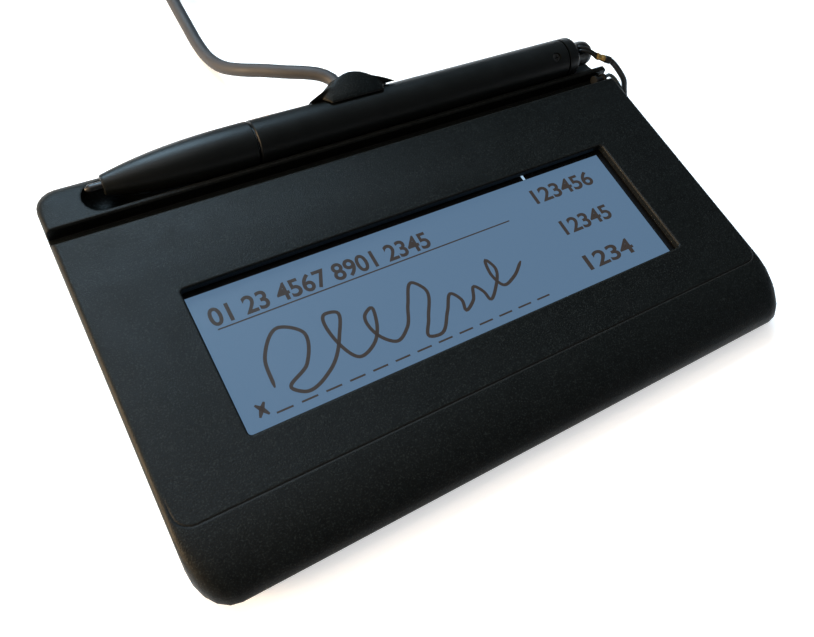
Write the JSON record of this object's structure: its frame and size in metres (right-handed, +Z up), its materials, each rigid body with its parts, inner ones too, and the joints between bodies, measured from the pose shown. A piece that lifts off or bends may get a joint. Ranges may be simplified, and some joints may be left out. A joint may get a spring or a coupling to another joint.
{
  "type": "signature pad",
  "caption": "Desk-top signature pad with a sunken signing window, a tethered pen lying in a rear trough and a coiled USB lead",
  "frame": {"origin": "centre of the housing seen from above, on the surface that the feet stand on", "axes": "+X to the right along the pen, +Y to the rear where the lead leaves, +Z up"},
  "size_m": [0.1625, 0.2322, 0.0236],
  "materials": {
    "case_black": "fine moulded grain",
    "pen_black": "satin",
    "rubber": "soft",
    "cord_black": "smooth cord sheath",
    "cord_grey": "translucent grey sheath",
    "lead_grey": "smooth lead sheath",
    "brass": "crimped",
    "steel": "plain",
    "clear_plate": "matte hard coat",
    "display_blue": "liquid crystal panel",
    "guide_white": "milky",
    "board_green": "solder mask",
    "chip_black": "moulded",
    "header_white": "moulded",
    "ribbon_amber": "film"
  },
  "bodies": {
    "housing": {"top_cover": "case_black", "bottom_cover": "case_black", "cable_hood": "case_black", "cable_grommet": "rubber", "display_window": "clear_plate", "display_panel": "display_blue", "light_guide": "guide_white", "led_strip": "header_white", "sensor_board": "board_green", "shield_plate": "steel", "display_ribbon": "ribbon_amber", "main_board": "board_green", "controller_chip": "chip_black", "clock_crystal": "steel", "board_header": "header_white", "lead_connector": "header_white", "inner_lead": "lead_grey", "lead_tie": "header_white", "foot_front_left": "rubber", "foot_front_right": "rubber", "foot_rear_left": "rubber", "foot_rear_right": "rubber", "case_screw_front_left": "steel", "case_screw_front_right": "steel", "case_screw_rear_left": "steel", "case_screw_rear_right": "steel", "tether_anchor": "rubber", "tether_cord": "cord_black", "tether_crimp": "brass", "tether_return": "cord_grey", "usb_cable": "lead_grey", "usb_cable_coil": "lead_grey", "usb_cable_tail": "lead_grey", "coil_tie": "rubber", "usb_plug_grip": "cord_black", "usb_plug_shell": "steel", "usb_plug_tongue": "header_white"},
    "pen": {"pen_nib": "steel", "pen_nose": "pen_black", "pen_barrel": "pen_black", "pen_end_cap": "pen_black", "pen_screw": "steel", "pen_core": "steel", "tether_loop": "cord_black", "tether_ferrule": "brass", "tether_sleeve": "cord_black"}
  },
  "joints": [
    {"name": "pen_slide", "type": "slide", "parent": "housing", "child": "pen", "axis": [1, 0, 0], "range_m": [0, 0.082], "deforming": ["tether_cord"]}
  ]
}
